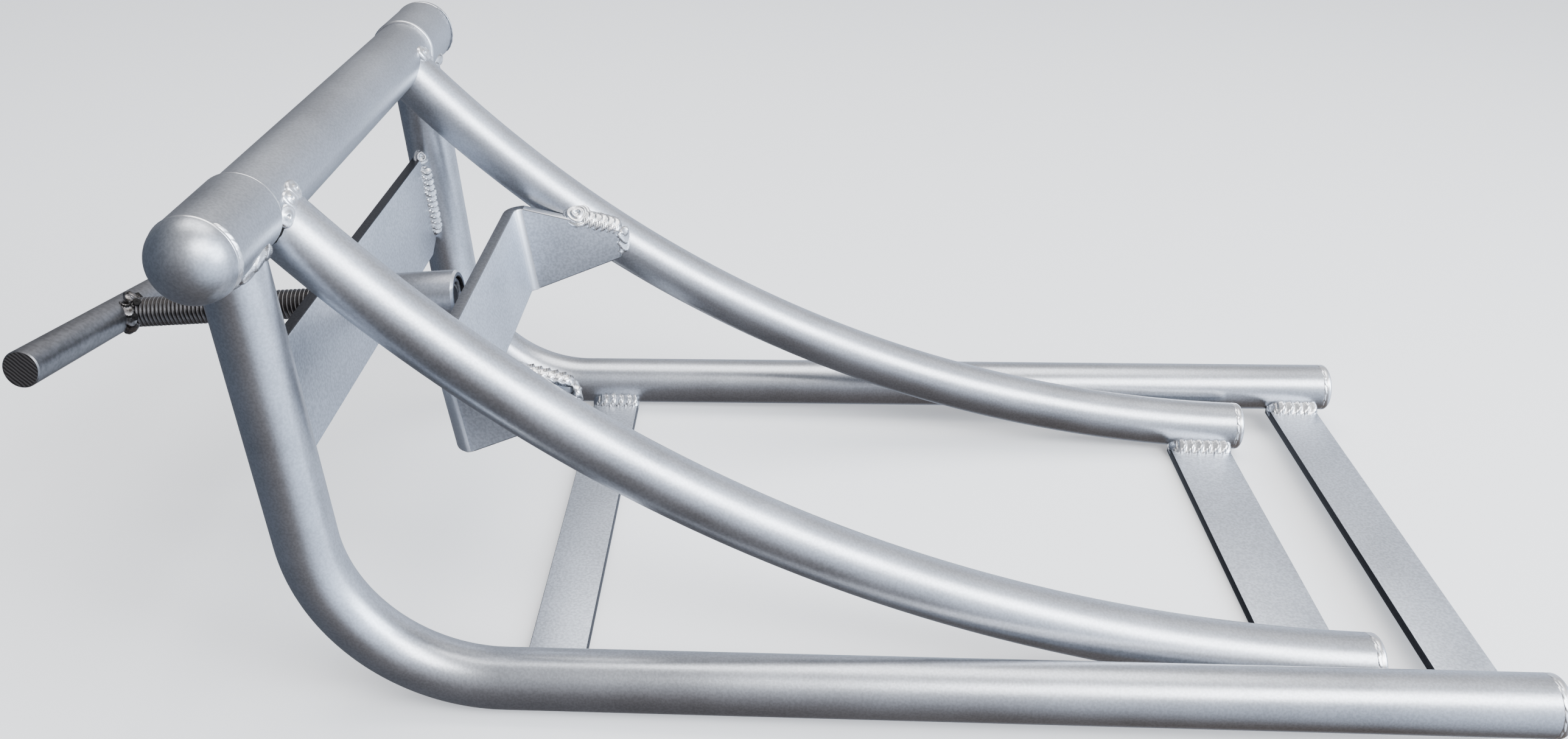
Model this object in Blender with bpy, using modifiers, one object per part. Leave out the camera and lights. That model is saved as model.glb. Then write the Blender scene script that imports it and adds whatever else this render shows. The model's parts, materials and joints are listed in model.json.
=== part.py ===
"""Kip bar: a low welded tube stand with a short bar on two legs and a screw clamp under it.

The frame is drawn in the rails' own axes (+X rearwards along the rails, +Z up from the rails'
undersides) and is then raked onto the floor, because the curved tubes end lower than the rails.
All sizes are in metres. The stand is symmetric about Y = 0.
"""
import math

import bmesh
import bpy
from mathutils import Matrix, Vector

# Clearances
GAP = 0.0003                    # between pieces that touch or are welded
THREAD_GAP = 0.0003             # radial, screw crest to the plain bore that stands for the thread
EDGE = 0.0004                   # small chamfer on turned rings
OVERCUT = 0.0040                # how far cutters run past what they cut

# Tubes
TUBE_OD = 0.0318
TUBE_WALL = 0.0025
BAR_OD = 0.0368
BAR_WALL = 0.0030
SLEEVE_OD = 0.0398

# Stand, in the rails' axes
BAR_X = -0.1698                 # axis of the top bar
BAR_Z = 0.2678
LEG_LEAN = math.radians(3.65)   # legs lean forwards towards the bar
BEND_R = 0.0924                 # leg to rail, to the tube's centre line
RAIL_Y = 0.1584
RAIL_END_X = 0.4580             # outside of the end cap
CURVE_Y = 0.1196
CURVE_R = 0.7726
CURVE_END_X = 0.3880            # outside of the end cap
CURVE_END_Z = 0.0065            # the curved tube's centre there

# Top bar ends. The sleeve starts just outside the curved tube and reaches past the leg
SLEEVE_IN_Y = max(CURVE_Y + TUBE_OD / 2 + 0.0028, RAIL_Y - 0.0201)
SLEEVE_OUT_Y = RAIL_Y + TUBE_OD / 2 + 0.0149
DOME_DEPTH = 0.0175
SPIGOT = 0.0100

# Tube end caps
CAP_T = 0.0040
CAP_ROUND = 0.0022
CAP_SPIGOT = 0.0060

# Flat straps: middle X and width, flush with the tubes' undersides
STRAP_T = 0.0060
FRONT_STRAP = (-0.0461, 0.0320)
MIDDLE_STRAP = (0.3605, 0.0400)
REAR_STRAP = (0.4334, 0.0320)

# Screw plate between the legs
PLATE_T = 0.0070
PLATE_SET_BACK = 0.0029         # its rear face lies this far in front of the legs' centre plane
PLATE_BOTTOM_Z = 0.1295
PLATE_TOP_Z = 0.1940
PLATE_CORNER = 0.0070
PLATE_IN_TUBE = 0.0080          # how near its ends come to the legs' axes, before they are coped

# Screw clamp, measured along the screw from the legs' centre plane
SCREW_DROP = 0.1104             # down the legs from the bar's axis to the screw's axis
SCREW_OD = 0.0178
BOSS_OD = 0.0300
BOSS_REACH = 0.0505
THREAD_END = 0.0160             # the plain guide bore starts here
GUIDE_R = 0.0112
HANDLE_REACH = 0.1567
HANDLE_OD = 0.0205
HANDLE_LEN = 0.2080
HANDLE_TURN = math.radians(10.0)
BAR_EDGE = 0.0008               # chamfers on the screw, the handle and the boss
BOSS_EDGE = 0.0012
PAD_EDGE = 0.0010
PAD_R = GUIDE_R - GAP
PAD_LEN = 0.0100
PAD_INSET = 0.0015              # pad face inside the boss's mouth at rest
PIN_R = 0.0050
PIN_INSET = 0.0008              # pin's end below the pad's face
CLIP_R = 0.0072
CLIP_T = 0.0012
RECESS_R = 0.0080
RECESS_D = 0.0026

# Bent bracket between the curved tubes
JAW_LEAN = math.radians(7.3)
JAW_X = -0.0897                 # rear face of the centre panel at JAW_Z
JAW_Z = 0.1186
JAW_BEND_R = 0.0120             # outside of the bend
JAW_TOP_Z = 0.1759
WING_START_X = JAW_X + 0.0020   # the wings' undersides start here, above the tab
WING_END_X = -0.0302
WING_TOP_Z = 0.1606             # at the wing's rear end
WING_BOTTOM_Z = 0.1420          # at the wing's rear end
TAB_TOP_W = 0.0407              # half widths of the tab below the panel
TAB_BOTTOM_W = 0.0210
TAB_BOTTOM_Z = 0.0985

TUBE_SEGMENTS = 24
ROUND_STEPS = 32
BEND_STEPS = 10
CURVE_STEPS = 16
ALUMINIUM = (0.60, 0.61, 0.63)
BRIGHT = (0.74, 0.75, 0.77)
RAW_STEEL = (0.20, 0.19, 0.185)
BLACK_STEEL = (0.09, 0.088, 0.09)


def curve_centre():
    """Centre of the curved tubes' arc, through the bar's axis and the tubes' rear ends."""
    start = Vector((BAR_X, BAR_Z))
    end = Vector((CURVE_END_X, CURVE_END_Z))
    chord = end - start
    rise = math.sqrt(CURVE_R ** 2 - (chord.length / 2) ** 2)
    up = Vector((-chord.y, chord.x)).normalized()
    return (start + end) / 2 + up * rise


CURVE_CX, CURVE_CZ = curve_centre()
LEG_CORNER_X = BAR_X + (BAR_Z - TUBE_OD / 2) * math.tan(LEG_LEAN)
BEND_TURN = math.pi / 2 - LEG_LEAN
BEND_LEG = BEND_R * math.tan(BEND_TURN / 2)
RAIL_START_X = LEG_CORNER_X + BEND_LEG
RAKE = math.atan2(TUBE_OD / 2 - CURVE_END_Z, CURVE_END_X - RAIL_START_X)

ALONG_LEG = Vector((math.sin(LEG_LEAN), 0, -math.cos(LEG_LEAN)))
ALONG_SCREW = Vector((math.cos(LEG_LEAN), 0, math.sin(LEG_LEAN)))
BAR_AXIS = Vector((BAR_X, 0, BAR_Z))
SCREW_ORIGIN = BAR_AXIS + ALONG_LEG * SCREW_DROP


def to_floor():
    """Rakes the rails' axes onto the floor, with the origin under the middle of the length."""
    rake = Matrix.Rotation(-RAKE, 4, 'Y')
    handle = rake @ (SCREW_ORIGIN - ALONG_SCREW * HANDLE_REACH)
    handle_lean = HANDLE_LEN / 2 * math.sin(HANDLE_TURN) * math.sin(LEG_LEAN + RAKE)
    front = handle.x - HANDLE_OD / 2 - handle_lean
    rear = (rake @ Vector((RAIL_END_X, 0, CAP_ROUND))).x
    floor = (rake @ Vector((RAIL_START_X, 0, 0))).z
    return Matrix.Translation((-(front + rear) / 2, 0, -floor)) @ rake


TO_FLOOR = to_floor()


def clear_scene():
    for ob in list(bpy.data.objects):
        bpy.data.objects.remove(ob, do_unlink=True)


def new_collection(name):
    collection = bpy.data.collections.new(name)
    bpy.context.scene.collection.children.link(collection)
    return collection


def new_material(name, colour, metallic, roughness):
    material = bpy.data.materials.new(name)
    material.use_nodes = True
    shader = material.node_tree.nodes['Principled BSDF']
    shader.inputs['Base Color'].default_value = (*colour, 1.0)
    shader.inputs['Metallic'].default_value = metallic
    shader.inputs['Roughness'].default_value = roughness
    return material


def add_part(name, mesh, place, colour, roughness=0.42, metallic=0.9):
    """A named sub-part with its own material. place is in the rails' axes."""
    part = bpy.data.objects.new(name, mesh)
    part.matrix_world = TO_FLOOR @ place
    PARTS.objects.link(part)
    mesh.materials.clear()
    mesh.materials.append(new_material(name, colour, metallic, roughness))
    return part


def add_cutter(name, mesh, place):
    cutter = bpy.data.objects.new(name, mesh)
    cutter.matrix_world = TO_FLOOR @ place
    CUTTERS.objects.link(cutter)
    cutter.hide_render = True
    cutter.display_type = 'WIRE'
    return cutter


def cut(part, cutter):
    modifier = part.modifiers.new('Cut ' + cutter.name, 'BOOLEAN')
    modifier.operation = 'DIFFERENCE'
    modifier.solver = 'EXACT'
    modifier.object = cutter


def finish_round(mesh, angle=35.0):
    mesh.shade_smooth()
    mesh.set_sharp_from_angle(angle=math.radians(angle))
    return mesh


def mesh_of_curve(data):
    """The curve's own mesh with its caps welded on, so that it can be cut or cut others."""
    holder = bpy.data.objects.new('curve', data)
    bpy.context.scene.collection.objects.link(holder)
    graph = bpy.context.evaluated_depsgraph_get()
    mesh = bpy.data.meshes.new_from_object(holder.evaluated_get(graph))
    bpy.data.objects.remove(holder, do_unlink=True)
    bm = bmesh.new()
    bm.from_mesh(mesh)
    bmesh.ops.remove_doubles(bm, verts=bm.verts, dist=0.00001)
    bmesh.ops.recalc_face_normals(bm, faces=bm.faces)
    bm.to_mesh(mesh)
    bm.free()
    return mesh


def round_bar_mesh(path, diameter):
    """A solid bar of round section along a list of (x, y, z) points."""
    data = bpy.data.curves.new('path', 'CURVE')
    data.dimensions = '3D'
    data.twist_mode = 'Z_UP'
    spline = data.splines.new('POLY')
    spline.points.add(len(path) - 1)
    for point, place in zip(spline.points, path):
        point.co = (*place, 1.0)
    data.bevel_depth = diameter / 2
    data.bevel_resolution = TUBE_SEGMENTS // 2 - 2
    data.use_fill_caps = True
    return finish_round(mesh_of_curve(data))


def prism_mesh(outline, half_depth):
    """A flat outline in local X and Y, thickened both ways along local Z."""
    data = bpy.data.curves.new('outline', 'CURVE')
    data.dimensions = '2D'
    data.fill_mode = 'BOTH'
    data.extrude = half_depth
    spline = data.splines.new('POLY')
    spline.points.add(len(outline) - 1)
    for point, place in zip(spline.points, outline):
        point.co = (*place, 0.0, 1.0)
    spline.use_cyclic_u = True
    return mesh_of_curve(data)


def cylinder_mesh(radius, length, segments=ROUND_STEPS):
    """A plain cylinder on local Z, centred."""
    bm = bmesh.new()
    bmesh.ops.create_cone(bm, cap_ends=True, segments=segments, radius1=radius, radius2=radius, depth=length)
    mesh = bpy.data.meshes.new('cylinder')
    bm.to_mesh(mesh)
    bm.free()
    return finish_round(mesh)


def box_mesh(size):
    bm = bmesh.new()
    bmesh.ops.create_cube(bm, size=1.0)
    bmesh.ops.scale(bm, vec=size, verts=bm.verts)
    mesh = bpy.data.meshes.new('box')
    bm.to_mesh(mesh)
    bm.free()
    return mesh


def turned(name, profile, place, colour, hollow=False, steps=ROUND_STEPS, **look):
    """A turned piece: profile is (radius, height) down the outer side, closed if hollow."""
    mesh = bpy.data.meshes.new(name)
    edges = [(i, i + 1) for i in range(len(profile) - 1)]
    if hollow:
        edges.append((len(profile) - 1, 0))
    mesh.from_pydata([(radius, 0.0, height) for radius, height in profile], edges, [])
    part = add_part(name, mesh, place, colour, **look)
    screw = part.modifiers.new('Turn', 'SCREW')
    screw.steps = steps
    screw.render_steps = steps
    screw.use_merge_vertices = True
    screw.merge_threshold = 0.00001
    screw.use_smooth_shade = True
    return part


def ring_profile(outer, inner, low, high, chamfer):
    return [(outer - chamfer, high), (outer, high - chamfer), (outer, low + chamfer),
            (outer - chamfer, low), (inner, low), (inner, high)]


def arc(centre, radius, start, stop, steps):
    """Points on an arc in a plane, angles in radians, both ends included."""
    return [(centre[0] + radius * math.cos(start + (stop - start) * i / steps),
             centre[1] + radius * math.sin(start + (stop - start) * i / steps))
            for i in range(steps + 1)]


def pointing(origin, direction, roll_axis=Vector((0, 1, 0))):
    """A placement with local Z along direction and local Y along roll_axis."""
    z = direction.normalized()
    x = roll_axis.cross(z).normalized()
    y = z.cross(x)
    place = Matrix((x, y, z)).transposed().to_4x4()
    place.translation = origin
    return place


def leg_path(y):
    """Bar axis, down the leg, round the bend and back along the rail."""
    bend_centre = (RAIL_START_X, TUBE_OD / 2 + BEND_R)
    bend = arc(bend_centre, BEND_R, math.pi + LEG_LEAN, math.pi * 1.5, BEND_STEPS)
    points = [(BAR_X, BAR_Z)] + bend + [(RAIL_END_X - CAP_T - GAP, TUBE_OD / 2)]
    return [(x, y, z) for x, z in points]


def curve_angle(x):
    return -math.pi / 2 + math.asin((x - CURVE_CX) / CURVE_R)


def curve_path(y):
    """The curved tube's centre line from above the bar's axis down to its rear end."""
    stop = curve_angle(CURVE_END_X) - (CAP_T + GAP) / CURVE_R
    points = arc((CURVE_CX, CURVE_CZ), CURVE_R, curve_angle(BAR_X), stop, CURVE_STEPS)
    return [(x, y, z) for x, z in points]


def extended(path, extra):
    """The same path run on at both ends, for a bore that cuts right through."""
    first = Vector(path[0]) - Vector(path[1])
    last = Vector(path[-1]) - Vector(path[-2])
    start = Vector(path[0]) + first.normalized() * extra
    stop = Vector(path[-1]) + last.normalized() * extra
    return [tuple(start)] + path[1:-1] + [tuple(stop)]


def bent_tube(name, path, cope):
    """A hollow tube along a path, coped at its upper end to the bar or sleeve it is welded to."""
    tube = add_part(name, round_bar_mesh(path, TUBE_OD), Matrix(), ALUMINIUM)
    bore_mesh = round_bar_mesh(extended(path, OVERCUT), TUBE_OD - 2 * TUBE_WALL)
    cut(tube, add_cutter(name + '_bore', bore_mesh, Matrix()))
    cut(tube, cope)
    return tube


def end_cap(name, place):
    """A welded disc with a rounded rim that plugs a tube end. Local Z points out of the tube."""
    outer = TUBE_OD / 2
    spigot = outer - TUBE_WALL - GAP
    rim = arc((outer - CAP_ROUND, CAP_T + GAP - CAP_ROUND), CAP_ROUND, math.pi / 2, 0.0, 4)
    profile = [(0.0, CAP_T + GAP)] + rim + [(outer, GAP), (spigot, GAP), (spigot, -CAP_SPIGOT),
                                           (0.0, -CAP_SPIGOT)]
    turned(name, profile, place, BRIGHT, steps=TUBE_SEGMENTS, roughness=0.3)


def build_top_bar():
    inner = BAR_OD / 2 - BAR_WALL
    across = pointing(BAR_AXIS, Vector((0, 1, 0)), Vector((0, 0, 1)))
    half = SLEEVE_OUT_Y - GAP
    turned('top_bar', ring_profile(BAR_OD / 2, inner, -half, half, EDGE), across, ALUMINIUM, hollow=True)
    middle = (SLEEVE_IN_Y + SLEEVE_OUT_Y) / 2
    sleeve = ring_profile(SLEEVE_OD / 2, BAR_OD / 2 + GAP, SLEEVE_IN_Y - middle,
                          SLEEVE_OUT_Y - middle, EDGE)
    dome = arc((0.0, 0.0), 1.0, math.pi / 2, 0.0, 6)
    dome = [(r * SLEEVE_OD / 2, GAP + h * DOME_DEPTH) for r, h in dome]
    dome[0] = (0.0, GAP + DOME_DEPTH)
    spigot = inner - GAP
    cap = dome + [(spigot, GAP), (spigot, -SPIGOT), (0.0, -SPIGOT)]
    for side, sign in (('near', -1), ('far', 1)):
        outward = Vector((0, sign, 0))
        centre = BAR_AXIS + outward * middle
        seam = BAR_AXIS + outward * SLEEVE_OUT_Y
        turned('end_sleeve_' + side, sleeve, pointing(centre, outward, Vector((0, 0, 1))), ALUMINIUM,
               hollow=True)
        turned('end_dome_' + side, cap, pointing(seam, outward, Vector((0, 0, 1))), ALUMINIUM)


def build_tubes():
    across = pointing(BAR_AXIS, Vector((0, 1, 0)), Vector((0, 0, 1)))
    width = 2 * SLEEVE_OUT_Y
    sleeve_cope = add_cutter('sleeve_cope', cylinder_mesh(SLEEVE_OD / 2 + GAP, width), across)
    bar_cope = add_cutter('bar_cope', cylinder_mesh(BAR_OD / 2 + GAP, width), across)
    for side, sign in (('near', -1), ('far', 1)):
        bent_tube('leg_rail_' + side, leg_path(sign * RAIL_Y), sleeve_cope)
        bent_tube('curved_tube_' + side, curve_path(sign * CURVE_Y), bar_cope)
        rail_stop = Vector((RAIL_END_X - CAP_T - GAP, sign * RAIL_Y, TUBE_OD / 2))
        end_cap('rail_cap_' + side, pointing(rail_stop, Vector((1, 0, 0))))
        before, stop = (Vector(point) for point in curve_path(sign * CURVE_Y)[-2:])
        end_cap('curved_tube_cap_' + side, pointing(stop, stop - before))


def strap_half_length(tube_y, drop):
    """Half the strap's length, butted on tubes whose centre is drop above its top edge."""
    return tube_y - math.sqrt((TUBE_OD / 2) ** 2 - drop ** 2) - GAP


def build_straps():
    rail_half = strap_half_length(RAIL_Y, TUBE_OD / 2 - STRAP_T)
    for name, (x, width) in (('strap_front', FRONT_STRAP), ('strap_rear', REAR_STRAP)):
        place = Matrix.Translation((x, 0, STRAP_T / 2))
        add_part(name, box_mesh((width, 2 * rail_half, STRAP_T)), place, ALUMINIUM)
    x, width = MIDDLE_STRAP
    rear_z = CURVE_CZ + CURVE_R * math.sin(curve_angle(x + width / 2))
    level = Matrix.Rotation(RAKE, 4, 'Y')
    floor_z = -math.tan(RAKE) * (x - RAIL_START_X)
    middle_z = floor_z + STRAP_T / 2 / math.cos(RAKE)
    half = strap_half_length(CURVE_Y, rear_z - floor_z - STRAP_T)
    place = Matrix.Translation((x, 0, middle_z)) @ level
    add_part('strap_middle', box_mesh((width, 2 * half, STRAP_T)), place, ALUMINIUM)


def build_screw_plate():
    """The flat plate welded between the legs, parallel to them, that carries the boss."""
    def down_leg(z):
        return (BAR_Z - z) / math.cos(LEG_LEAN)

    top = SCREW_DROP - down_leg(PLATE_TOP_Z)
    bottom = SCREW_DROP - down_leg(PLATE_BOTTOM_Z)
    half = RAIL_Y - PLATE_IN_TUBE
    flat = RAIL_Y - TUBE_OD / 2 - PLATE_CORNER * 2
    rise = (half - flat) / 2
    outline = [(half, top), (-half, top), (-half, bottom + rise), (-flat, bottom), (flat, bottom),
               (half, bottom + rise)]
    centre = SCREW_ORIGIN - ALONG_SCREW * (PLATE_SET_BACK + PLATE_T / 2)
    place = pointing(centre, ALONG_SCREW, -ALONG_LEG)
    plate = add_part('screw_plate', prism_mesh(outline, PLATE_T / 2), place, ALUMINIUM)
    for side, sign in (('near', -1), ('far', 1)):
        leg = BAR_AXIS + ALONG_LEG * SCREW_DROP + Vector((0, sign * RAIL_Y, 0))
        cutter = cylinder_mesh(TUBE_OD / 2 + GAP, 2 * (top - bottom), TUBE_SEGMENTS)
        cut(plate, add_cutter('leg_clearance_' + side, cutter, pointing(leg, ALONG_LEG)))
    hole = cylinder_mesh(BOSS_OD / 2 + GAP, 2 * (PLATE_SET_BACK + PLATE_T + OVERCUT))
    cut(plate, add_cutter('boss_hole', hole, pointing(SCREW_ORIGIN, ALONG_SCREW)))


def build_boss():
    """Threaded in front, plain guide bore for the pad behind. Local Z runs rearwards."""
    outer = BOSS_OD / 2
    thread = SCREW_OD / 2 + THREAD_GAP
    front = -PLATE_SET_BACK - PLATE_T + GAP
    profile = [(outer - BOSS_EDGE, BOSS_REACH), (outer, BOSS_REACH - BOSS_EDGE), (outer, front),
               (thread, front), (thread, THREAD_END), (GUIDE_R, THREAD_END),
               (GUIDE_R, BOSS_REACH)]
    turned('threaded_boss', profile, pointing(SCREW_ORIGIN, ALONG_SCREW), ALUMINIUM, hollow=True,
           roughness=0.48)


def build_clamp():
    """Pressure pad, retaining clip, screw and T handle, all on the screw's axis."""
    on_axis = pointing(SCREW_ORIGIN, ALONG_SCREW)
    face = BOSS_REACH - PAD_INSET
    back = face - PAD_LEN
    bore = PIN_R + GAP
    pad = [(PAD_R - PAD_EDGE, face), (PAD_R, face - PAD_EDGE), (PAD_R, back), (bore, back),
           (bore, face - RECESS_D), (RECESS_R, face - RECESS_D), (RECESS_R, face)]
    turned('pressure_pad', pad, on_axis, BRIGHT, hollow=True, roughness=0.38)
    clip_low = face - RECESS_D + GAP
    clip = ring_profile(CLIP_R, PIN_R + GAP, clip_low, clip_low + CLIP_T, EDGE / 2)
    turned('pad_clip', clip, on_axis, RAW_STEEL, hollow=True)
    front = -HANDLE_REACH
    crest = SCREW_OD / 2
    tip = face - PIN_INSET
    shoulder = back - GAP
    body = [(0.0, tip), (PIN_R - EDGE, tip), (PIN_R, tip - EDGE), (PIN_R, shoulder),
            (crest - BAR_EDGE, shoulder), (crest, shoulder - BAR_EDGE), (crest, front), (0.0, front)]
    screw = turned('clamp_screw', body, on_axis, BLACK_STEEL, roughness=0.4)
    across = Vector((0, math.cos(HANDLE_TURN), 0)) + ALONG_LEG * math.sin(HANDLE_TURN)
    handle_place = pointing(SCREW_ORIGIN + ALONG_SCREW * front, across, ALONG_SCREW)
    half = HANDLE_LEN / 2
    radius = HANDLE_OD / 2
    bar = [(0.0, half), (radius - BAR_EDGE, half), (radius, half - BAR_EDGE), (radius, BAR_EDGE - half),
           (radius - BAR_EDGE, -half), (0.0, -half)]
    turned('t_handle', bar, handle_place, RAW_STEEL, roughness=0.5)
    cope = cylinder_mesh(radius + GAP, 2 * SCREW_OD)
    cut(screw, add_cutter('handle_cope', cope, handle_place))


def jaw_section(front, wing_end, half_width):
    """The bracket's bent section in plan: a centre panel with a wing turned back at each end."""
    outer = JAW_BEND_R
    inner = JAW_BEND_R - PLATE_T
    bend_x = front + outer
    bend_y = half_width - outer
    return ([(wing_end, half_width)]
            + arc((bend_x, bend_y), outer, math.pi / 2, math.pi, 6)
            + arc((bend_x, -bend_y), outer, math.pi, math.pi * 1.5, 6)
            + [(wing_end, -half_width), (wing_end, PLATE_T - half_width)]
            + arc((bend_x, -bend_y), inner, math.pi * 1.5, math.pi, 5)
            + arc((bend_x, bend_y), inner, math.pi, math.pi / 2, 5)
            + [(wing_end, half_width - PLATE_T)])


def build_bracket():
    """Bent plate whose wings lie against the curved tubes; its panel is the fixed jaw."""
    half_width = CURVE_Y - TUBE_OD / 2 - GAP
    origin = Vector((JAW_X, 0, JAW_Z))
    panel_up = Vector((-math.sin(JAW_LEAN), 0, math.cos(JAW_LEAN)))
    place = pointing(origin, panel_up)
    reach = (WING_END_X - JAW_X) / math.cos(JAW_LEAN) + OVERCUT
    section = jaw_section(-PLATE_T, reach, half_width)
    bracket = add_part('jaw_bracket', prism_mesh(section, 0.09), place, ALUMINIUM)

    wide = half_width + OVERCUT
    side_view = pointing(Vector(), Vector((0, -1, 0)), Vector((0, 0, 1)))
    top_x = JAW_X - (JAW_TOP_Z - JAW_Z) * math.tan(JAW_LEAN)
    front_x = BAR_X
    rear_x = 2 * abs(WING_END_X)
    drop = (JAW_TOP_Z - WING_TOP_Z) * (rear_x - WING_END_X) / (WING_END_X - top_x)
    above = [(front_x, JAW_TOP_Z), (top_x, JAW_TOP_Z), (WING_END_X, WING_TOP_Z),
             (rear_x, WING_TOP_Z - drop), (rear_x, BAR_Z), (front_x, BAR_Z)]
    cut(bracket, add_cutter('jaw_top_trim', prism_mesh(above, wide), side_view))
    below = [(WING_START_X, JAW_Z), (WING_START_X, 0.0), (rear_x, 0.0), (rear_x, WING_BOTTOM_Z),
             (WING_END_X, WING_BOTTOM_Z)]
    cut(bracket, add_cutter('wing_bottom_trim', prism_mesh(below, wide), side_view))
    behind = [(WING_END_X, 0.0), (rear_x, 0.0), (rear_x, BAR_Z), (WING_END_X, BAR_Z)]
    cut(bracket, add_cutter('wing_end_trim', prism_mesh(behind, wide), side_view))

    front_view = pointing(Vector(), Vector((-1, 0, 0)), Vector((0, 0, 1)))
    around_tab = [(-wide, JAW_Z), (-TAB_TOP_W, JAW_Z), (-TAB_BOTTOM_W, TAB_BOTTOM_Z),
                  (TAB_BOTTOM_W, TAB_BOTTOM_Z), (TAB_TOP_W, JAW_Z), (wide, JAW_Z), (wide, 0.0),
                  (-wide, 0.0)]
    cut(bracket, add_cutter('tab_trim', prism_mesh(around_tab, BAR_Z), front_view))


clear_scene()
PARTS = new_collection('kip_bar')
CUTTERS = new_collection('cutters')
build_top_bar()
build_tubes()
build_straps()
build_screw_plate()
build_boss()
build_clamp()
build_bracket()
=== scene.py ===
"""Looks of the kip bar: smooth tubes, plates with cut edges, weld beads, thread, floor and lights."""
import json
import math

import bpy
from mathutils import Matrix, Vector


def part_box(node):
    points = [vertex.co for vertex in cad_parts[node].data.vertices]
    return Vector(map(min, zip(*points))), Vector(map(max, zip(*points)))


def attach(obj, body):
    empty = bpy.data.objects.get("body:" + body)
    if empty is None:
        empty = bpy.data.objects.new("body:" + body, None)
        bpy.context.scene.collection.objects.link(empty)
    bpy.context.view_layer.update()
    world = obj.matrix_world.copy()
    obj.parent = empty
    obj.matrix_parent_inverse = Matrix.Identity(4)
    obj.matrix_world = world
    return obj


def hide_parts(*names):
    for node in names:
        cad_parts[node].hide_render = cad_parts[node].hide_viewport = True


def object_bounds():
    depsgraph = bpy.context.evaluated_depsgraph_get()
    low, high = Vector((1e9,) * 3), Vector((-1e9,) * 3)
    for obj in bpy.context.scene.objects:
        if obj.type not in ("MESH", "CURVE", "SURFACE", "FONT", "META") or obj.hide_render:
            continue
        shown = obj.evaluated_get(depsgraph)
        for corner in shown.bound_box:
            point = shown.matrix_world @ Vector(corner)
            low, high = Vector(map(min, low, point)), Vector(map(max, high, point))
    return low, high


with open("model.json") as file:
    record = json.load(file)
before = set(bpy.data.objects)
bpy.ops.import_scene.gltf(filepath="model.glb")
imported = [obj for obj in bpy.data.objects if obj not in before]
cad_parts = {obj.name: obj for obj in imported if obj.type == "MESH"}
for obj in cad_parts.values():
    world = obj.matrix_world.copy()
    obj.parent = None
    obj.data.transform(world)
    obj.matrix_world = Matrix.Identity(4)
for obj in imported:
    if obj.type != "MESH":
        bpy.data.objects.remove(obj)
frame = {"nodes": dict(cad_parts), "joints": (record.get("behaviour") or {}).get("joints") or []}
CAD_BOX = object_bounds()

# Sizes in metres, and heights above the rails' underside
# Tubes: the legs run into the rails, the curved tubes from the bar to the rear
TUBE_R = 0.0159
LEG_LEAN = math.radians(3.65)
BEND_R = 0.0924
CURVE_R = 0.7726
RAIL_Y = 0.1584
CURVE_Y = 0.1196

# Top bar, its sleeves and domes
BAR_R = 0.0184
BAR_X = -0.1698
BAR_Z = 0.2678
SLEEVE_R = 0.0199
SLEEVE_IN_Y = 0.1383
SLEEVE_OUT_Y = 0.1892
DOME_DEPTH = 0.0175

# Screw plate between the legs
PLATE_T = 0.0070
PLATE_SET_BACK = 0.0029
PLATE_BOTTOM_Z = 0.1295
PLATE_TOP_Z = 0.1940
PLATE_CORNER = 0.0070
PLATE_EDGE = 0.0007

# Boss, screw, T bar and pad, along the screw from where it crosses the legs' axes
BOSS_R = 0.0150
BOSS_REACH = 0.0505
GUIDE_R = 0.0112
GUIDE_START = 0.0160
SCREW_R = 0.0089
THREAD_DEPTH = 0.00125
THREAD_GAP = 0.0004
PITCH = 0.0025
HANDLE_R = 0.01025
HANDLE_LEN = 0.2080
HANDLE_TURN = math.radians(10.0)
HANDLE_REACH = 0.1567
PAD_R = 0.0109
PAD_LEN = 0.0100
PAD_INSET = 0.0015
PAD_FACE = BOSS_REACH - PAD_INSET
PIN_R = 0.0050

# Bent bracket: a leaning panel, two wings and a tab
JAW_LEAN = math.radians(7.3)
JAW_X = -0.0897
JAW_Z = 0.1186
JAW_TOP_Z = 0.1759
JAW_HALF = 0.1034
JAW_BEND_R = 0.0120
WING_START_X = JAW_X + 0.002
WING_END_X = -0.0302
WING_TOP_Z = 0.1606
WING_BOTTOM_Z = 0.1420
TAB_TOP_W = 0.0407
TAB_BOTTOM_W = 0.0210
TAB_BOTTOM_Z = 0.0985

# How fine the pieces are
ROUND = 72
DOUBLES = 0.000005
BEAD_SEGMENTS = 28
PUDDLE_RINGS = 12

# Welds: the usual length of a puddle, where in it the painted shade in the crease before the next ripple
# starts, and each bead's (width, height)
WELD_PITCH = 0.0040
PUDDLE_FRONT = 0.80
PLUG_BEAD = (0.0034, 0.0011)
PLATE_BEAD = (0.0150, 0.0060)
STRAP_BEAD = (0.0170, 0.0072)
STRAP_SEAM = (0.0050, 0.0010)
WING_TOP_BEAD = (0.0135, 0.0050)
WING_BACK_BEAD = (0.0125, 0.0042)
CURVE_SEAM = (0.0056, 0.0018)
DOME_SEAM = (0.0046, 0.0006)
LEG_BEAD = (0.0084, 0.0030)
BOSS_BEAD = (0.0056, 0.0022)
HANDLE_BEAD = (0.0108, 0.0042)


def box_centre(node):
    low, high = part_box(node)
    return (low + high) / 2


def joint(name):
    return next(j for j in frame["joints"] if j["name"] == name)


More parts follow.
